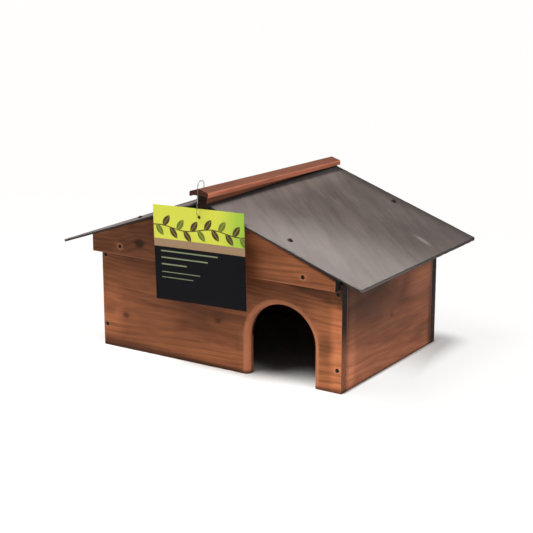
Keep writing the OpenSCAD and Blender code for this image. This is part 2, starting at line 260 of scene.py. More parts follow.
def stainedPine(name, axes, look):
    # Spruce or pine, planed, dipped in a red-brown water stain: the eye gets long soft growth
    # bands, a fine fibre, darker soaked ends and knots, and a satin skin that hardly shines.
    # The three letters of axes are the board's length, width and thickness.
    material, tree, surface = newMaterial(name)
    place = addNode(tree, "TexCoord", out=3)
    sides = addNode(tree, "SeparateXYZ", {}, {0: place}).node.outputs
    board = addNode(tree, "CombineXYZ", {}, {i: sides[letter] for i, letter in enumerate(axes)})
    mm = addNode(tree, "Mapping", {"Scale": (1000, 1000, 1000)}, {0: board})

    # the grain wanders slowly along the board, and every pattern but the blotches follows it
    slow = addNode(tree, "Mapping", {"Location": look["shift"], "Scale": repeats(pine["wander"])}, {0: mm})
    wander = addNode(tree, "TexNoise", {"Scale": 1, "Detail": 2}, {0: slow}, out=1)
    centred = addNode(tree, "VectorMath", {"operation": "SUBTRACT", 1: (0.5, 0.5, 0.5)}, {0: wander})
    sway = addNode(tree, "VectorMath", {"operation": "MULTIPLY", 1: pine["sway"]}, {0: centred})
    grain = addNode(tree, "VectorMath", {"operation": "ADD"}, {0: mm, 1: sway})

    rough = addNode(tree, "Mapping", {"Scale": repeats(pine["ragged"])}, {0: grain})
    ragged = addNode(tree, "TexNoise", {"Scale": 1, "Detail": 3}, {0: rough})
    ring, knotTone = growthRings(tree, look, mm, grain, ragged)
    space = addNode(tree, "Mapping", {"Location": look["shift"], "Scale": repeats(pine["streak"])},
                    {0: grain})
    streak = addNode(tree, "TexNoise", {"Scale": 1, "Detail": 4, "Roughness": 0.6}, {0: space})
    space = addNode(tree, "Mapping", {"Scale": repeats(pine["fibre"])}, {0: grain})
    fibre = addNode(tree, "TexNoise", {"Scale": 1, "Detail": 3, "Roughness": 0.6}, {0: space})
    space = addNode(tree, "Mapping", {"Location": look["shift"], "Scale": repeats(pine["blotch"])}, {0: mm})
    blotch = addNode(tree, "TexNoise", {"Scale": 1, "Detail": 3, "Roughness": 0.55}, {0: space})

    shares = look["shares"]
    tone = addNode(tree, "Math", {"operation": "MULTIPLY", 1: shares["ring"]}, {0: ring})
    for part, source in (("streak", streak), ("fibre", fibre), ("blotch", blotch)):
        tone = addNode(tree, "Math", {"operation": "MULTIPLY_ADD", 1: shares[part]}, {0: source, 2: tone})
    tone = addNode(tree, "Math", {"operation": "DIVIDE", 1: sum(shares.values())}, {0: tone})
    stain = [(pine["deepAt"], srgb(look["deep"])), (pine["midAt"], srgb(look["mid"])),
             (pine["paleAt"], srgb(look["pale"]))]
    colour = addNode(tree, "ValToRGB", {"stops": stain}, {0: tone})

    # slow drifts of painted light and shade: a direction, two places along it and the shares of light there
    for direction, start, end, first, last in look["drift"]:
        along = addNode(tree, "VectorMath", {"operation": "DOT_PRODUCT", 1: direction}, {0: place}, out=1)
        light = addNode(tree, "MapRange", {**softStep, 1: start / 1000, 2: end / 1000, 3: first, 4: last},
                        {0: along})
        colour = addNode(tree, "VectorMath", {"operation": "SCALE"}, {0: colour, "Scale": light})
    # soft patches of painted light and shade: along, across, half length, half width, share of light
    for along, across, length, width, share in look["patches"]:
        spot = addNode(tree, "Mapping", {"vector_type": "TEXTURE", "Location": (along, across, 0),
                                         "Scale": (length, width, noDepth)}, {0: mm})
        reach = addNode(tree, "VectorMath", {"operation": "LENGTH"}, {0: spot}, out=1)
        edge = raggedEdge(tree, reach, blotch, pine["patchRagged"])
        light = addNode(tree, "MapRange", {**softStep, 1: pine["patchFrom"], 2: pine["patchTo"],
                                           3: share, 4: 1}, {0: edge})
        colour = addNode(tree, "VectorMath", {"operation": "SCALE"}, {0: colour, "Scale": light})
    normal = addNode(tree, "SeparateXYZ", {}, {0: addNode(tree, "TexCoord", out=1)}).node.outputs
    # painted light: faces that stand upright are made brighter
    if look.get("upright"):
        steep = addNode(tree, "Math", {"operation": "ABSOLUTE"}, {0: normal["X"]})
        share = addNode(tree, "MapRange", {1: pine["uprightFrom"], 2: pine["uprightTo"],
                                           3: 1, 4: look["upright"]}, {0: steep})
        colour = addNode(tree, "VectorMath", {"operation": "SCALE"}, {0: colour, "Scale": share})

    # rubbed arrises took less stain
    worn = addNode(tree, "Attribute", {"attribute_name": "worn"}, out=2)
    patchy = addNode(tree, "MapRange", {1: noiseLow, 2: pine["wornFull"], 3: pine["wornLeast"], 4: 1},
                     {0: streak})
    wornShare = addNode(tree, "Math", {"operation": "MULTIPLY"}, {0: worn, 1: patchy})
    colour = addNode(tree, "Mix", {**colourMix, 7: srgb(look["worn"])}, {0: wornShare, 6: colour}, out=2)
    # painted shade under the slates' edge, with painted light below it
    if look.get("underSlates"):
        colour = shadedByRoof(tree, look["underSlates"], sides, colour)

    # a pale torn ring round each screw
    for along, across in look["screws"]:
        fromScrew = addNode(tree, "Mapping", {"Location": (-along, -across, 0), "Scale": (1, 1, 0)}, {0: mm})
        reach = addNode(tree, "VectorMath", {"operation": "LENGTH"}, {0: fromScrew}, out=1)
        edge = raggedEdge(tree, reach, ragged, pine["tornRagged"])
        torn = addNode(tree, "MapRange", {**softStep, 1: pine["tornFrom"], 2: pine["tornTo"],
                                          3: look["tornShare"], 4: 0}, {0: edge})
        colour = addNode(tree, "Mix", {**colourMix, 7: srgb(look["torn"])}, {0: torn, 6: colour}, out=2)
    if knotTone is not None:
        colour = addNode(tree, "Mix", {**colourMix, 7: srgb(look["knot"])}, {0: knotTone, 6: colour}, out=2)

    # ends soak up more stain
    endOn = addNode(tree, "Math", {"operation": "ABSOLUTE"}, {0: normal[axes[0]]})
    endShare = addNode(tree, "MapRange", {**softStep, 1: pine["endFrom"], 2: pine["endTo"], 3: 0, 4: 1},
                       {0: endOn})
    endTone = addNode(tree, "ValToRGB", {"stops": [(0.2, srgb(look["endDeep"])), (0.8, srgb(look["end"]))]},
                      {0: ring})
    # painted light and shade: the ends' tone is scaled with height, darker high up under the eaves
    highUp = addNode(tree, "MapRange", {**softStep, 1: pine["soakFrom"] / 1000, 2: pine["soakTo"] / 1000,
                                        3: look["endLow"], 4: look["endHigh"]}, {0: sides["Z"]})
    endTone = addNode(tree, "VectorMath", {"operation": "SCALE"}, {0: endTone, "Scale": highUp})
    colour = addNode(tree, "Mix", colourMix, {0: endShare, 6: colour, 7: endTone}, out=2)

    # the router left its edge smooth, so it took less
    if look.get("routed"):
        routed = routedEdge(tree, sides)
        colour = addNode(tree, "Mix", {**colourMix, 7: srgb(look["worn"])}, {0: routed, 6: colour}, out=2)

    # the lowest few millimetres are darker
    if look.get("foot"):
        height = addNode(tree, "Math", {"operation": "MULTIPLY", 1: 1000}, {0: sides["Z"]})
        wet = addNode(tree, "MapRange", {**softStep, 1: pine["footFrom"], 2: look["foot"],
                                         3: pine["footShare"], 4: 0}, {0: height})
        colour = addNode(tree, "Mix", {**colourMix, 7: srgb(look["endDeep"])}, {0: wet, 6: colour}, out=2)

    tree.links.new(colour, surface.inputs["Base Color"])
    sheen = addNode(tree, "MapRange", {1: noiseLow, 2: noiseHigh, 3: look["roughness"] - pine["slick"],
                                       4: look["roughness"] + pine["dull"]}, {0: streak})
    tree.links.new(sheen, surface.inputs["Roughness"])
    surface.inputs["Specular IOR Level"].default_value = look["gloss"]
    relief = addNode(tree, "Math", {"operation": "MULTIPLY_ADD", 1: pine["fibreRelief"]},
                     {0: fibre, 2: ring})
    bump = addNode(tree, "Bump", {"Strength": pine["bump"], "Distance": pine["bumpDepth"]},
                   {"Height": relief})
    tree.links.new(bump, surface.inputs["Normal"])
    return material


boardShape = {"easing": 0.0009, "grid": 0.014, "wobble": 0.00022, "waveLength": 0.05, "rubbed": 0.003,
              "wear": 0.28, "shortest": 0.02, "bluntest": 25, "strip": 1.6}


def shapedBoard(node, cutAxes, seed, easing):
    # eased edges, slices fine enough to bend, and the small unevenness of sawn boards
    mesh = solidCopy(node)
    low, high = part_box(node)
    arrises = [e for e in mesh.edges if e.is_manifold and e.calc_length() > boardShape["shortest"]
               and e.calc_face_angle() > math.radians(boardShape["bluntest"])]
    bmesh.ops.bevel(mesh, geom=arrises, offset=easing, affect="EDGES", segments=2, profile=0.5,
                    material=-1, clamp_overlap=True)
    # the easing's own strips are known by their narrowness, and end up paler
    narrow = mesh.faces.layers.int.new("narrow")
    for face in mesh.faces:
        face[narrow] = 2 * face.calc_area() < easing * boardShape["strip"] * face.calc_perimeter()
    for axis in cutAxes:
        for place in (low.dot(axis) + boardShape["rubbed"], high.dot(axis) - boardShape["rubbed"]):
            sliceAt(mesh, axis, place)
    for axis in cutAxes:
        sliceEvenly(mesh, axis, low.dot(axis), high.dot(axis), boardShape["grid"])
    worn = mesh.verts.layers.float.new("worn")
    for face in mesh.faces:
        if face[narrow]:
            for vert in face.verts:
                vert[worn] = boardShape["wear"]
    for vert in mesh.verts:
        shove = noise.noise_vector(vert.co / boardShape["waveLength"] + Vector((seed, 0, 0)))
        vert.co += shove * boardShape["wobble"]
        keepInside(vert, low, high)
    return mesh


def lookFrom(base, **changes):
    return {**base, **changes}


def placeBoard(name, wood, node, axes, seed, look, easing=boardShape["easing"]):
    # panels are sliced along and across, battens along only
    cuts = {"XZY": (xAxis, zAxis), "YZX": (yAxis, zAxis), "YXZ": (yAxis,)}
    placePiece(name, shapedBoard(node, cuts[axes], seed, easing), stainedPine(wood, axes, look), node)


# the drift is painted shade towards the top of the board
panelLook = {
    "pale": "#925938", "mid": "#76452a", "deep": "#4f2d19", "worn": "#b97451", "torn": "#a9764d",
    "knot": "#2c160e", "end": "#653c28", "endDeep": "#3a2115", "endLow": 2.2, "endHigh": 0.05,
    "ringWidth": 4.5, "shares": {"ring": 0.18, "streak": 0.5, "fibre": 0.34, "blotch": 0.48},
    "pith": (-70, 62), "runOut": (0, 0.02, 0.012), "shift": (0, 0, 0), "roughness": 0.66, "gloss": 0.17,
    "tornShare": 0.5, "foot": 8, "drift": [((0, 0, 1), 60, 178, 1, 0.82)], "patches": [],
    "knots": [], "screws": [],
}
# the front's drifts and patches are painted light and shade: darker under the gable, at the upper right
# corner and foot, lighter towards the right
frontLook = lookFrom(
    panelLook, routed=True, torn="#c47f56", tornShare=0.6,
    knots=[(-190, 60, 4, 0.6), (3, 82, 4, 0.55)], screws=[(230.5, 38)],
    drift=[((0, 0, 1), 60, 150, 1.05, 0.92), ((0, 0, 1), 148, 170, 1, 0.8), ((1, 0, 0), 150, 200, 1, 1.68),
           ((1, 0, 0), 212, 226, 1, 1.45), ((0.25, 0, 1), 193, 203, 1, 0.45), ((0.05, 0, 1), 0, 12, 0.5, 1)],
    patches=[(-30, 94, 100, 16, 0.7), (208, 70, 17, 25, 0.55), (-222, 66, 28, 60, 1.5),
             (5, 26, 75, 30, 1.45), (242, 168, 18, 20, 0.3)])
rearLook = lookFrom(
    panelLook, shift=(40, 11, 5), pith=(-120, 50), endLow=0.3,
    knots=[(-120, 50, 5, 0.8), (60, 130, 4, 0.6), (170, 80, 6, 0.8)])
placeBoard("frontPanelBoard", "redStainedPinePanel", "front_panel", "XZY", 1, frontLook)
placeBoard("rearPanelBoard", "redStainedPineRear", "rear_panel", "XZY", 2, rearLook)

# the side walls' drifts and patches are painted light and shade: paler low down, darker under the eaves and
# near the corners
leftLook = lookFrom(
    panelLook, shift=(150, 3, 9), pith=(-105, 45), foot=4, pale="#955f46", mid="#794932", deep="#532f1f",
    knots=[(-60, 60, 5, 0.8), (80, 140, 4, 0.5)],
    drift=[((0, 0, 1), 10, 110, 1.62, 0.76), ((0, -0.45, 1), 108, 200, 1.05, 0.34),
           ((0, 1, 0), -150, -30, 1.27, 1), ((0, 1, 0), -147, -134, 0.5, 1), ((0, 1, 0), -128, -110, 1.3, 1),
           ((0, 1, 0), 60, 145, 1, 1.12), ((0, 1, 0), 136, 150, 1, 0.45)])
rightLook = lookFrom(
    leftLook, shift=(90, 31, 8), knots=[(3, 89, 3.5, 0.45)],
    patches=[(-45, 122, 75, 42, 0.7), (105, 120, 48, 40, 1.45), (105, 36, 40, 14, 0.6),
             (148, 25, 14, 60, 0.5), (-152, 178, 18, 18, 0.4), (-112, 186, 52, 17, 0.5)])
placeBoard("leftWallBoard", "redStainedPineLeft", "left_wall", "YZX", 3, leftLook)
placeBoard("rightWallBoard", "redStainedPineRight", "right_wall", "YZX", 4, rightLook)
print("stage: four box boards")

# painted shade under the slates and painted light below it, and a drift from painted shade at the left to
# painted light at the right
gableLook = lookFrom(
    panelLook, foot=0, torn="#b87950", tornShare=0.55, screws=[(-186.5, 185.3), (175.5, 185.3)],
    underSlates={"depth": 0.013, "fade": 0.0035, "lean": 0.038, "tone": 0.08, "pale": 1.6,
                 "paleFrom": -0.06, "paleTo": 0.08, "paleTop": 0.026, "paleFoot": 0.058},
    pith=(-260, 40), drift=[((1, 0, 0), -120, 60, 0.78, 1.22)])
placeBoard("frontGableBoard", "redStainedPineFrontGable", "front_gable", "XZY", 5,
           lookFrom(gableLook, shift=(210, 60, 2), knots=[(-145, 196, 7, 0.85)]))
placeBoard("rearGableBoard", "redStainedPineRearGable", "rear_gable", "XZY", 6,
           lookFrom(gableLook, shift=(300, 60, 2), knots=[(-90, 200, 6, 0.8), (100, 230, 5, 0.6)]))

battenLook = lookFrom(
    panelLook, foot=0, pale="#6a412c", mid="#4f2f21", deep="#382118", ringWidth=3.2, pith=(-30, -60),
    shift=(5, 77, 3), roughness=0.75, end="#2c1812", endDeep="#180c08", endHigh=1, drift=[])
battens = {"leftPurlin": "left_purlin", "rightPurlin": "right_purlin", "ridgeBeam": "ridge_beam"}
for name, node in battens.items():
    placeBoard(name, "darkStainedBatten" + name[0].upper() + name[1:], node, "YXZ", 7,
               battenLook)
# painted light: the moulding's upright faces are made brighter than its sloping ones
capLook = lookFrom(
    panelLook, foot=0, pale="#603627", mid="#4e2a1d", deep="#361c13", pith=(20, -290), upright=6.5,
    worn="#ad6e54", shift=(400, 5, 40), endDeep="#2a140d", end="#482517", endHigh=1, drift=[])
placeBoard("ridgeCapMoulding", "redStainedPineMoulding", "ridge_cap", "YXZ", 8, capLook,
           0.0018)
print("stage: roof timber")


# the shape's sizes are in metres, and the finish's in mm
slate = {
    "cell": 0.0035, "relief": 0.0006, "cleftSize": 0.045, "cleftNarrow": 0.45, "steps": 3,
    "deep": 0.5, "swell": 0.35, "terrace": 0.3, "underside": 0.6,
    "chip": 0.0011, "chipLength": 0.012, "chipReach": 0.0035, "fineChip": 0.4, "fineLength": 0.004,
    "base": "#534945", "light": "#665b56", "dark": "#3f3531", "bleach": "#978e89", "scuff": "#a59d97",
    "streakTurn": 32, "streak": (90, 14, 14), "cloud": (120, 120, 120),
    "grain": (1.6, 1, 1),  # mineral grains are 0.05 mm; drawn at 1 mm so that they show
    "streakShare": 0.5, "cloudShare": 0.3, "grainShare": 0.2,
    # painted light: the slate is paler towards the front
    "bleachFrom": -55, "bleachTo": -235, "bleachLean": 0.45, "bleachLeast": 0.65,
    "bleachMost": {1: 0.68, -1: 0.3},  # 1 is the right slate and -1 the left
    "ridgeBleach": 0.5, "ridgeFrom": 50, "ridgeTo": 150,
    "scuffs": {1: [(80, 252, 24, 8, -14)], -1: []}, "scuffShare": 0.32, "scuffRagged": 1.2,
    "edgeBand": 38, "edgeShade": 0.42,
    # painted shadow of the cap, and painted light beyond it
    "capLine": 27, "capFade": 4, "capLean": 0.03, "capShade": 0.2,
    "paleFrom": 42, "paleTo": 72, "pale": 1.3, "paleRear": (-120, -20),
    # painted shade on the rims
    "eaveRim": 0.35, "rim": 0.14, "roughness": 0.62, "sheen": 0.1, "gloss": 0.22,
    "grainRelief": 0.35, "bump": 0.6, "bumpDepth": 0.0008,
}


def rivenSlate(name, side):
    # Riven slate, split by hand and dressed with a bevelled edge: low steps and diagonal streaks,
    # grey-brown with a breath of purple, and the soft sheen of fine mica.
    material, tree, surface = newMaterial(name)
    place = addNode(tree, "TexCoord", out=3)
    mm = addNode(tree, "Mapping", {"Scale": (1000, 1000, 1000)}, {0: place})
    onFace = addNode(tree, "Mapping", {"Rotation": (0, math.radians(-roofPitch * side), 0)}, {0: mm})
    turn = math.radians(slate["streakTurn"] * side)
    bias = addNode(tree, "Mapping", {"Rotation": (0, 0, turn)}, {0: onFace})
    space = addNode(tree, "Mapping", {"Scale": repeats(slate["streak"])}, {0: bias})
    streak = addNode(tree, "TexNoise", {"Scale": 1, "Detail": 6, "Roughness": 0.62, "Distortion": 0.4},
                     {0: space})
    space = addNode(tree, "Mapping", {"Scale": repeats(slate["cloud"])}, {0: onFace})
    cloud = addNode(tree, "TexNoise", {"Scale": 1, "Detail": 3}, {0: space})
    space = addNode(tree, "Mapping", {"Scale": repeats(slate["grain"])}, {0: bias})
    grain = addNode(tree, "TexNoise", {"Scale": 1, "Detail": 4, "Roughness": 0.7}, {0: space})
    tone = addNode(tree, "Math", {"operation": "MULTIPLY", 1: slate["streakShare"]}, {0: streak})
    tone = addNode(tree, "Math", {"operation": "MULTIPLY_ADD", 1: slate["cloudShare"]}, {0: cloud, 2: tone})
    tone = addNode(tree, "Math", {"operation": "MULTIPLY_ADD", 1: slate["grainShare"]}, {0: grain, 2: tone})
    stops = [(noiseLow, srgb(slate["dark"])), (0.5, srgb(slate["base"])), (noiseHigh, srgb(slate["light"]))]
    colour = addNode(tree, "ValToRGB", {"stops": stops}, {0: tone})

    # painted light: the slate is paler towards the front, and further back towards the eaves
    along = addNode(tree, "VectorMath", {"operation": "DOT_PRODUCT", 1: (-slate["bleachLean"] * side, 1, 0)},
                    {0: mm}, out=1)
    bleach = addNode(tree, "MapRange", {**softStep, 1: slate["bleachFrom"], 2: slate["bleachTo"],
                                        3: 0, 4: slate["bleachMost"][side]}, {0: along})
    patchy = addNode(tree, "MapRange", {1: noiseLow, 2: noiseHigh, 3: slate["bleachLeast"], 4: 1}, {0: tone})
    bleachShare = addNode(tree, "Math", {"operation": "MULTIPLY"}, {0: bleach, 1: patchy})
    # less so close to the ridge
    sides = addNode(tree, "SeparateXYZ", {}, {0: mm}).node.outputs
    out = addNode(tree, "Math", {"operation": "MULTIPLY", 1: side}, {0: sides["X"]})
    sunny = addNode(tree, "MapRange", {**softStep, 1: slate["ridgeFrom"], 2: slate["ridgeTo"],
                                       3: slate["ridgeBleach"], 4: 1}, {0: out})
    bleachShare = addNode(tree, "Math", {"operation": "MULTIPLY"}, {0: bleachShare, 1: sunny})
    colour = addNode(tree, "Mix", {**colourMix, 7: srgb(slate["bleach"])}, {0: bleachShare, 6: colour}, out=2)

    # pale scuffs: along, out from the middle, half length, half width, turn in degrees
    for along, across, length, width, turn in slate["scuffs"][side]:
        mark = addNode(tree, "Mapping", {"vector_type": "TEXTURE", "Location": (across, along, 0),
                                         "Rotation": (0, 0, math.radians(turn)),
                                         "Scale": (length, width, noDepth)}, {0: mm})
        reach = addNode(tree, "VectorMath", {"operation": "LENGTH"}, {0: mark}, out=1)
        edge = raggedEdge(tree, reach, grain, slate["scuffRagged"])
        mask = addNode(tree, "MapRange", {**softStep, 1: 0.2, 2: 1, 3: slate["scuffShare"], 4: 0}, {0: edge})
        colour = addNode(tree, "Mix", {**colourMix, 7: srgb(slate["scuff"])}, {0: mask, 6: colour}, out=2)

    # painted shade along the rear edge
    fromRear = addNode(tree, "Math", {"operation": "SUBTRACT", 0: 1000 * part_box("right_slate")[1].y},
                       {1: sides["Y"]})
    damp = addNode(tree, "MapRange", {**softStep, 1: 0, 2: slate["edgeBand"], 3: slate["edgeShade"], 4: 1},
                   {0: fromRear})
    # painted shadow close to the cap, in a strip that widens to the rear, with painted light beyond it
    slope = 1 / math.cos(math.radians(roofPitch))
    down = addNode(tree, "Math", {"operation": "MULTIPLY", 1: slope}, {0: out})
    fromCap = addNode(tree, "Math", {"operation": "MULTIPLY_ADD", 1: -slate["capLean"]},
                      {0: sides["Y"], 2: down})
    soot = addNode(tree, "MapRange", {**softStep, 1: slate["capLine"] - slate["capFade"],
                                      2: slate["capLine"] + slate["capFade"], 3: slate["capShade"], 4: 1},
                   {0: fromCap})
    pale = addNode(tree, "MapRange", {**softStep, 1: slate["paleFrom"], 2: slate["paleTo"],
                                      3: slate["pale"], 4: 1}, {0: down})
    rearward = addNode(tree, "MapRange", {**softStep, 1: slate["paleRear"][0], 2: slate["paleRear"][1]},
                       {0: sides["Y"]})
    pale = addNode(tree, "Mix", {2: 1}, {0: rearward, 3: pale})
    # painted shade on the split rims, which are darker than the face
    facing = addNode(tree, "SeparateXYZ", {}, {0: addNode(tree, "TexCoord", out=1)}).node.outputs
    toEave = addNode(tree, "Math", {"operation": "ABSOLUTE"}, {0: facing["X"]})
    eaveRim = addNode(tree, "MapRange", {1: 0.55, 2: 0.8, 3: 1, 4: slate["eaveRim"]}, {0: toEave})
    endOn = addNode(tree, "Math", {"operation": "ABSOLUTE"}, {0: facing["Y"]})
    rim = addNode(tree, "MapRange", {1: 0.6, 2: 0.9, 3: 1, 4: slate["rim"]}, {0: endOn})
    for light in (damp, soot, pale, eaveRim, rim):
        colour = addNode(tree, "VectorMath", {"operation": "SCALE"}, {0: colour, "Scale": light})

    tree.links.new(colour, surface.inputs["Base Color"])
    sheen = addNode(tree, "MapRange", {1: noiseLow, 2: noiseHigh, 3: slate["roughness"] - slate["sheen"],
                                       4: slate["roughness"] + slate["sheen"]}, {0: streak})
    tree.links.new(sheen, surface.inputs["Roughness"])
    surface.inputs["Specular IOR Level"].default_value = slate["gloss"]
    relief = addNode(tree, "Math", {"operation": "MULTIPLY_ADD", 1: slate["grainRelief"]},
                     {0: grain, 2: streak})
    bump = addNode(tree, "Bump", {"Strength": slate["bump"], "Distance": slate["bumpDepth"]},
                   {"Height": relief})
    tree.links.new(bump, surface.inputs["Normal"])
    return material


def shapedSlate(node, side):
    # low cleft steps on the face, and flakes struck off along the edges
    mesh = solidCopy(node)
    low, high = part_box(node)
    tilt = math.radians(roofPitch)
    down = Vector((side * math.cos(tilt), 0, -math.sin(tilt)))
    up = Vector((side * math.sin(tilt), 0, math.cos(tilt)))
    for axis in (down, yAxis):
        places = [v.co.dot(axis) for v in mesh.verts]
        sliceEvenly(mesh, axis, min(places), max(places), slate["cell"])
    heights = [v.co.dot(up) for v in mesh.verts]
    top, bottom = max(heights), min(heights)
    eave = max(v.co.dot(down) for v in mesh.verts)
    for vert in mesh.verts:
        u, v, h = vert.co.dot(down), vert.co.y, vert.co.dot(up)
        if abs(h - top) < 1e-5 or abs(h - bottom) < 1e-5:
            # the clefts run slantwise
            cleft = Vector((u * 0.6 + v * 0.8, (v * 0.6 - u * 0.8) * slate["cleftNarrow"], side))
            cleft /= slate["cleftSize"]
            swell = noise.fractal(cleft, 1.0, 2.0, 4)
            step = noise.noise(cleft * 1.7 + Vector((7, 3, 1)))
            terrace = math.floor(step * slate["steps"]) / slate["steps"]
            sink = slate["deep"] + slate["swell"] * swell + slate["terrace"] * terrace
            share = 1 if h > (top + bottom) / 2 else -slate["underside"]
            vert.co -= up * (max(0, sink) * slate["relief"] * share)
        inward = Vector((0, 0, 0))
        for gap, way in ((eave - u, -down), (v - low.y, yAxis), (high.y - v, -yAxis)):
            if gap < slate["chipReach"]:
                inward += way
        fine = noise.noise(Vector((u, v, h * 2)) / slate["fineLength"])
        bite = max(0, noise.noise(Vector((u, v, side * 3)) / slate["chipLength"]) + slate["fineChip"] * fine)
        vert.co += inward * bite * slate["chip"]
        keepInside(vert, low, high)
    return mesh


for side, word in ((1, "right"), (-1, "left")):
    node = word + "_slate"
    placePiece(word + "SlateSheet", shapedSlate(node, side), rivenSlate("rivenSlate" + word.title(), side),
               node, 30)
print("stage: slates")


screwLook = {"colour": "#1b1714", "metallic": 0.6, "roughness": 0.5}
loopLook = {"colour": "#bfbdb7", "roughness": 0.12, "transmission": 0.95}


def phosphateSteel():
    # Phosphate-coated steel, as drawn and headed: near black, with a dull metal glint.
    material, tree, surface = newMaterial("phosphateSteel")
    surface.inputs["Base Color"].default_value = srgb(screwLook["colour"])
    surface.inputs["Metallic"].default_value = screwLook["metallic"]
    surface.inputs["Roughness"].default_value = screwLook["roughness"]
    return material


def nylonFilament():
    # Clear nylon cable, extruded: lets the light through, greys at its rims and glints along its length.
    material, tree, surface = newMaterial("nylonFilament")
    surface.inputs["Base Color"].default_value = srgb(loopLook["colour"])
    surface.inputs["Roughness"].default_value = loopLook["roughness"]
    surface.inputs["Transmission Weight"].default_value = loopLook["transmission"]
    return material


darkSteel = phosphateSteel()
for node in nodes:
    if node.endswith("screws") or node.endswith("brads"):
        nodes[node].data.materials.clear()
        nodes[node].data.materials.append(darkSteel)
nodes["tag_loop"].data.materials.clear()
nodes["tag_loop"].data.materials.append(nylonFilament())
print("stage: fasteners and loop")


# the print in mm from the card's middle; a rule is its height, length and thickness
card = {
    "width": 178, "height": 158, "tilt": 1.72, "header": 55.5, "strip": 13.2, "crisp": 0.1,
    "lime": "#c8ca4a", "green": "#8fb440", "greenFrom": 30, "greenTo": 95, "tan": "#967a5f",
    "stem": 43, "wave": 3.5, "waves": 0.06, "stemThin": 0.7, "stemThick": 1.1,
    "leaves": 13, "leafTurn": 52, "leafLength": 12, "leafWidth": 5.5, "leafOut": 8, "leafOn": 5,
    "leafDark": "#4b3a28", "leafOlive": "#66702f", "rib": 0.6, "ribFrom": 0.03, "ribTo": 0.07,
    "board": "#101014", "rule": "#8f9a78", "ruleShare": 0.7, "ruleStart": -76,
    "rules": [(3, 112, 2.2), (-8, 92, 2.2), (-19, 50, 2.2), (-32, 76, 1.2), (-41, 62, 1.2)],
    "back": "#cfcbbd", "roughness": 0.5, "gloss": 0.06, "curl": 0.0016, "curlTop": 0.4, "cell": 0.006,
}


def leafyHeader(tree, across, upward):
    # a trailing stem on lime, with leaves to either side
    glow = addNode(tree, "MapRange", {**softStep, 1: card["greenFrom"], 2: card["greenTo"], 3: 0, 4: 1},
                   {0: across})
    header = addNode(tree, "Mix", {**colourMix, 6: srgb(card["lime"]), 7: srgb(card["green"])}, {0: glow},
                     out=2)
    swing = addNode(tree, "Math", {"operation": "MULTIPLY", 1: card["waves"]}, {0: across})
    stem = addNode(tree, "Math", {"operation": "SINE"}, {0: swing})
    stem = addNode(tree, "Math", {"operation": "MULTIPLY_ADD", 1: card["wave"], 2: card["stem"]}, {0: stem})
    fromStem = addNode(tree, "Math", {"operation": "SUBTRACT"}, {0: upward, 1: stem})
    fromStem = addNode(tree, "Math", {"operation": "ABSOLUTE"}, {0: fromStem})
    mask = addNode(tree, "MapRange", {1: card["stemThin"], 2: card["stemThick"], 3: 1, 4: 0}, {0: fromStem})
    header = addNode(tree, "Mix", {**colourMix, 7: srgb(card["leafDark"])}, {0: mask, 6: header}, out=2)
    flat = addNode(tree, "CombineXYZ", {}, {0: across, 1: upward})
    for i in range(card["leaves"]):
        x = card["width"] * ((i + 0.5) / card["leaves"] - 0.5)
        above = 1 if i % 2 else -1
        z = card["stem"] + card["wave"] * math.sin(card["waves"] * x) + above * card["leafOut"]
        tint = "leafDark" if i % 3 else "leafOlive"
        leaf = addNode(tree, "Mapping", {"vector_type": "TEXTURE", "Location": (x + card["leafOn"], z, 0),
                                         "Rotation": (0, 0, math.radians(above * card["leafTurn"])),
                                         "Scale": (card["leafLength"], card["leafWidth"], 1)}, {0: flat})
        own = addNode(tree, "SeparateXYZ", {}, {0: leaf}).node.outputs
        square = addNode(tree, "Math", {"operation": "ABSOLUTE"}, {0: own["X"]})
        square = addNode(tree, "Math", {"operation": "POWER", 1: 2}, {0: square})
        wide = addNode(tree, "Math", {"operation": "ABSOLUTE"}, {0: own["Y"]})
        inside = addNode(tree, "Math", {"operation": "ADD"}, {0: square, 1: wide})
        mask = addNode(tree, "MapRange", {1: 0.97, 2: 1.03, 3: 1, 4: 0}, {0: inside})
        header = addNode(tree, "Mix", {**colourMix, 7: srgb(card[tint])}, {0: mask, 6: header}, out=2)
        rib = addNode(tree, "MapRange", {1: card["ribFrom"], 2: card["ribTo"], 3: card["rib"], 4: 0},
                      {0: wide})
        rib = addNode(tree, "Math", {"operation": "MULTIPLY"}, {0: rib, 1: mask})
        header = addNode(tree, "Mix", {**colourMix, 7: srgb(card["lime"])}, {0: rib, 6: header}, out=2)
    return header


def ruledField(tree, across, upward):
    # pale rules of several lengths on near black
    field = addNode(tree, "RGB")
    field.node.outputs[0].default_value = srgb(card["board"])
    crisp = card["crisp"]
    for z, length, thick in card["rules"]:
        above = addNode(tree, "Math", {"operation": "SUBTRACT", 1: z}, {0: upward})
        above = addNode(tree, "Math", {"operation": "ABSOLUTE"}, {0: above})
        near = addNode(tree, "MapRange", {1: thick / 2 - crisp, 2: thick / 2 + crisp,
                                          3: card["ruleShare"], 4: 0}, {0: above})
        beside = addNode(tree, "Math", {"operation": "SUBTRACT", 1: card["ruleStart"] + length / 2},
                         {0: across})
        beside = addNode(tree, "Math", {"operation": "ABSOLUTE"}, {0: beside})
        within = addNode(tree, "MapRange", {1: length / 2 - crisp, 2: length / 2 + crisp, 3: 1, 4: 0},
                         {0: beside})
        mask = addNode(tree, "Math", {"operation": "MULTIPLY"}, {0: near, 1: within})
        field = addNode(tree, "Mix", {**colourMix, 7: srgb(card["rule"])}, {0: mask, 6: field}, out=2)
    return field


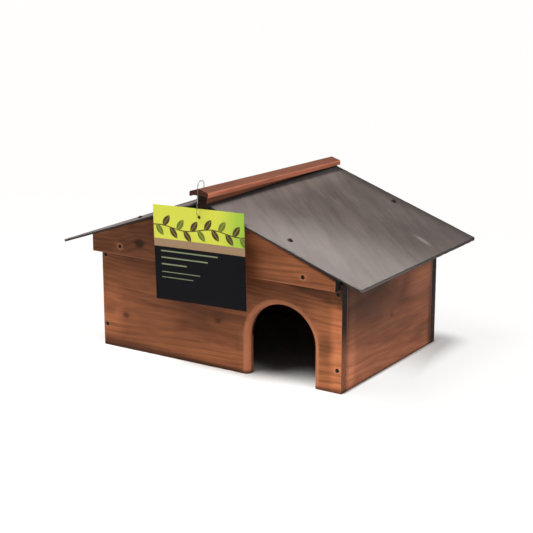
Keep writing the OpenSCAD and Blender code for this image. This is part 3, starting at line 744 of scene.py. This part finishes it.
def printedCard():
    # Coated card, offset printed: a lime head with leaves, a tan strip and a near-black field with
    # pale rules; the coating gives it a smooth, even sheen.
    material, tree, surface = newMaterial("coatedCard")
    low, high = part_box("hang_tag")
    place = addNode(tree, "TexCoord", out=3)
    mm = addNode(tree, "Mapping", {"vector_type": "TEXTURE", "Location": (low + high) / 2,
                                   "Rotation": (0, math.radians(-card["tilt"]), 0),
                                   "Scale": (0.001, 0.001, 0.001)}, {0: place})
    parts = addNode(tree, "SeparateXYZ", {}, {0: mm}).node.outputs
    across, upward = parts["X"], parts["Z"]
    headerLow = card["height"] / 2 - card["header"]
    stripLow = headerLow - card["strip"]
    crisp = card["crisp"]
    overStrip = addNode(tree, "MapRange", {1: stripLow - crisp, 2: stripLow + crisp}, {0: upward})
    colour = addNode(tree, "Mix", {**colourMix, 7: srgb(card["tan"])},
                     {0: overStrip, 6: ruledField(tree, across, upward)}, out=2)
    overHeader = addNode(tree, "MapRange", {1: headerLow - crisp, 2: headerLow + crisp}, {0: upward})
    colour = addNode(tree, "Mix", colourMix,
                     {0: overHeader, 6: colour, 7: leafyHeader(tree, across, upward)}, out=2)
    # the back is left unprinted
    rearward = addNode(tree, "SeparateXYZ", {}, {0: addNode(tree, "TexCoord", out=1)}).node.outputs["Y"]
    onBack = addNode(tree, "MapRange", {1: 0.4, 2: 0.6}, {0: rearward})
    colour = addNode(tree, "Mix", {**colourMix, 7: srgb(card["back"])}, {0: onBack, 6: colour}, out=2)
    tree.links.new(colour, surface.inputs["Base Color"])
    surface.inputs["Roughness"].default_value = card["roughness"]
    surface.inputs["Specular IOR Level"].default_value = card["gloss"]
    return material


def shapedCard():
    # the card curls forward a little at its sides, and more towards its foot
    mesh = solidCopy("hang_tag")
    low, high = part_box("hang_tag")
    for axis in (xAxis, zAxis):
        sliceEvenly(mesh, axis, low.dot(axis), high.dot(axis), card["cell"])
    middle = (low + high) / 2
    for vert in mesh.verts:
        out = (vert.co.x - middle.x) / (high.x - middle.x)
        drop = (high.z - vert.co.z) / (high.z - low.z)
        vert.co.y -= card["curl"] * out * out * (card["curlTop"] + (1 - card["curlTop"]) * drop)
    return mesh


placePiece("printedTag", shapedCard(), printedCard(), "hang_tag")
print("stage: card")


# metres; the floor glows by its distance from the house's foot, given as half its width and depth
studio = {
    "floorSize": 14, "floorColour": "#f6f5f3", "roughness": 0.9, "gloss": 0.1,
    "white": (1, 0.992, 0.975, 1), "world": 0.11,
    "house": (0.238, 0.17, 0), "glow": 0.88, "glowReach": 0.07, "fadeFrom": 0.4, "fadeTo": 1.2,
    # painted shade on the ground under the house, away from the doorway
    "insideFrom": -0.15, "insideTo": -0.08, "insideEnd": 0.155, "insideWidth": 0.228, "inside": 0.5,
    # painted light: the paper glows more beside the right wall
    "besideFrom": 0.239, "besideTo": 0.244, "besideFront": -0.06, "besideRear": 0.17, "besideLeast": 0.2,
}


def paperColour(tree, sides):
    # painted shade: the ground under the house, away from the doorway, is darker
    depth = addNode(tree, "MapRange", {**softStep, 1: studio["insideFrom"], 2: studio["insideTo"],
                                       3: 1, 4: studio["inside"]}, {0: sides["Y"]})
    out = addNode(tree, "Math", {"operation": "ABSOLUTE"}, {0: sides["X"]})
    within = addNode(tree, "Math", {"operation": "LESS_THAN", 1: studio["insideWidth"]}, {0: out})
    before = addNode(tree, "Math", {"operation": "LESS_THAN", 1: studio["insideEnd"]}, {0: sides["Y"]})
    under = addNode(tree, "Math", {"operation": "MULTIPLY"}, {0: within, 1: before})
    plain = srgb(studio["floorColour"])
    paper = addNode(tree, "VectorMath", {"operation": "SCALE", 0: plain[:3]}, {"Scale": depth})
    return addNode(tree, "Mix", {**colourMix, 6: plain}, {0: under, 7: paper}, out=2)


def paperGlow(tree, place, sides):
    # distance out from the house's foot, where the paper is plain
    quarter = addNode(tree, "VectorMath", {"operation": "ABSOLUTE"}, {0: place})
    beyond = addNode(tree, "VectorMath", {"operation": "SUBTRACT", 1: studio["house"]}, {0: quarter})
    beyond = addNode(tree, "VectorMath", {"operation": "MAXIMUM", 1: (0, 0, 0)}, {0: beyond})
    distance = addNode(tree, "VectorMath", {"operation": "LENGTH"}, {0: beyond}, out=1)
    near = addNode(tree, "MapRange", {**softStep, 1: 0, 2: studio["glowReach"], 3: 0, 4: studio["glow"]},
                   {0: distance})
    far = addNode(tree, "MapRange", {**softStep, 1: studio["fadeFrom"], 2: studio["fadeTo"], 3: 0, 4: 1},
                  {0: distance})
    # painted light: the paper glows more beside the right wall, so little shadow is left there, and less so
    # towards its rear corner
    beside = addNode(tree, "MapRange", {**softStep, 1: studio["besideFrom"], 2: studio["besideTo"]},
                     {0: sides["X"]})
    rearward = addNode(tree, "MapRange", {**softStep, 1: studio["besideFront"], 2: studio["besideRear"],
                                          3: studio["glow"], 4: studio["besideLeast"]}, {0: sides["Y"]})
    beside = addNode(tree, "Math", {"operation": "MULTIPLY"}, {0: beside, 1: rearward})
    either = addNode(tree, "Math", {"operation": "MAXIMUM"}, {0: near, 1: beside})
    return addNode(tree, "Math", {"operation": "MAXIMUM"}, {0: either, 1: far})


def studioFloor():
    # real paper near the house, which takes its shadow, and plain white further off
    mesh = bmesh.new()
    bmesh.ops.create_grid(mesh, x_segments=1, y_segments=1, size=studio["floorSize"] / 2)
    data = bpy.data.meshes.new("studioFloor")
    mesh.to_mesh(data)
    mesh.free()
    floor = bpy.data.objects.new("studioFloor", data)
    bpy.context.scene.collection.objects.link(floor)
    material, tree, surface = newMaterial("paperSweep")
    surface.inputs["Roughness"].default_value = studio["roughness"]
    surface.inputs["Specular IOR Level"].default_value = studio["gloss"]
    place = addNode(tree, "TexCoord", out=3)
    sides = addNode(tree, "SeparateXYZ", {}, {0: place}).node.outputs
    tree.links.new(paperColour(tree, sides), surface.inputs["Base Color"])
    path = addNode(tree, "LightPath").node.outputs
    seen = addNode(tree, "Math", {"operation": "MAXIMUM"},
                   {0: path["Is Camera Ray"], 1: path["Is Glossy Ray"]})
    seen = addNode(tree, "Math", {"operation": "MAXIMUM"}, {0: seen, 1: path["Is Transmission Ray"]})
    share = addNode(tree, "Math", {"operation": "MULTIPLY"}, {0: paperGlow(tree, place, sides), 1: seen})
    glow = addNode(tree, "Emission", {"Color": studio["white"], "Strength": 1})
    mix = addNode(tree, "MixShader", {}, {0: share, 1: surface.outputs[0], 2: glow})
    output = next(n for n in tree.nodes if n.type == "OUTPUT_MATERIAL")
    tree.links.new(mix, output.inputs["Surface"])
    data.materials.append(material)


def studioWorld():
    # white to the camera and through the loop, and a weak even light on the house
    world = bpy.data.worlds.new("studioWorld")
    bpy.context.scene.world = world
    world.use_nodes = True
    tree = world.node_tree
    tree.nodes.clear()
    path = addNode(tree, "LightPath").node.outputs
    seen = addNode(tree, "Math", {"operation": "MAXIMUM"},
                   {0: path["Is Camera Ray"], 1: path["Is Transmission Ray"]})
    plain = addNode(tree, "Background", {"Color": (1, 1, 1, 1), "Strength": studio["world"]})
    white = addNode(tree, "Background", {"Color": studio["white"], "Strength": 1})
    mixed = addNode(tree, "MixShader", {}, {0: seen, 1: plain, 2: white})
    worldOut = tree.nodes.new("ShaderNodeOutputWorld")
    tree.links.new(mixed, worldOut.inputs["Surface"])


studioFloor()
studioWorld()

# a large softbox overhead and a little to the front, and weak fills that can't look in at the doorway
lamps = [
    {"name": "overheadSoftbox", "at": (-0.4, -0.8, 2.1), "size": 1.1, "watts": 66},
    {"name": "rightSoftbox", "at": (2.3, -0.6, 0.9), "size": 1.0, "watts": 22},
    {"name": "leftSoftbox", "at": (-2.3, 0.3, 1.3), "size": 1.0, "watts": 16},
    {"name": "rearSoftbox", "at": (0.6, 2.5, 1.4), "size": 1.2, "watts": 20},
]
lampTarget = Vector((0, 0, 0.12))
for lamp in lamps:
    light = bpy.data.lights.new(lamp["name"], "AREA")
    light.shape = "SQUARE"
    light.size = lamp["size"]
    light.energy = lamp["watts"]
    holder = bpy.data.objects.new(lamp["name"], light)
    holder.location = lamp["at"]
    holder.rotation_mode = "QUATERNION"
    holder.rotation_quaternion = (lampTarget - Vector(lamp["at"])).to_track_quat("-Z", "Y")
    bpy.context.scene.collection.objects.link(holder)

# the view of the photograph
camera = {"at": (1.2912, -1.9967, 0.7706), "azimuth": 33.017, "elevation": 14.901, "lens": 96.25,
          "film": 36, "nearest": 0.05, "furthest": 60}
lens = bpy.data.cameras.new("photographView")
lens.lens = camera["lens"]
lens.sensor_width = camera["film"]
lens.clip_start = camera["nearest"]
lens.clip_end = camera["furthest"]
eye = bpy.data.objects.new("photographView", lens)
azimuth, elevation = math.radians(camera["azimuth"]), math.radians(camera["elevation"])
back = Vector((math.sin(azimuth) * math.cos(elevation), -math.cos(azimuth) * math.cos(elevation),
               math.sin(elevation)))
eye.location = camera["at"]
eye.rotation_mode = "QUATERNION"
eye.rotation_quaternion = (-back).to_track_quat("-Z", "Y")
bpy.context.scene.collection.objects.link(eye)
bpy.context.scene.camera = eye
bpy.context.scene.view_settings.view_transform = "Standard"
print("stage: studio")
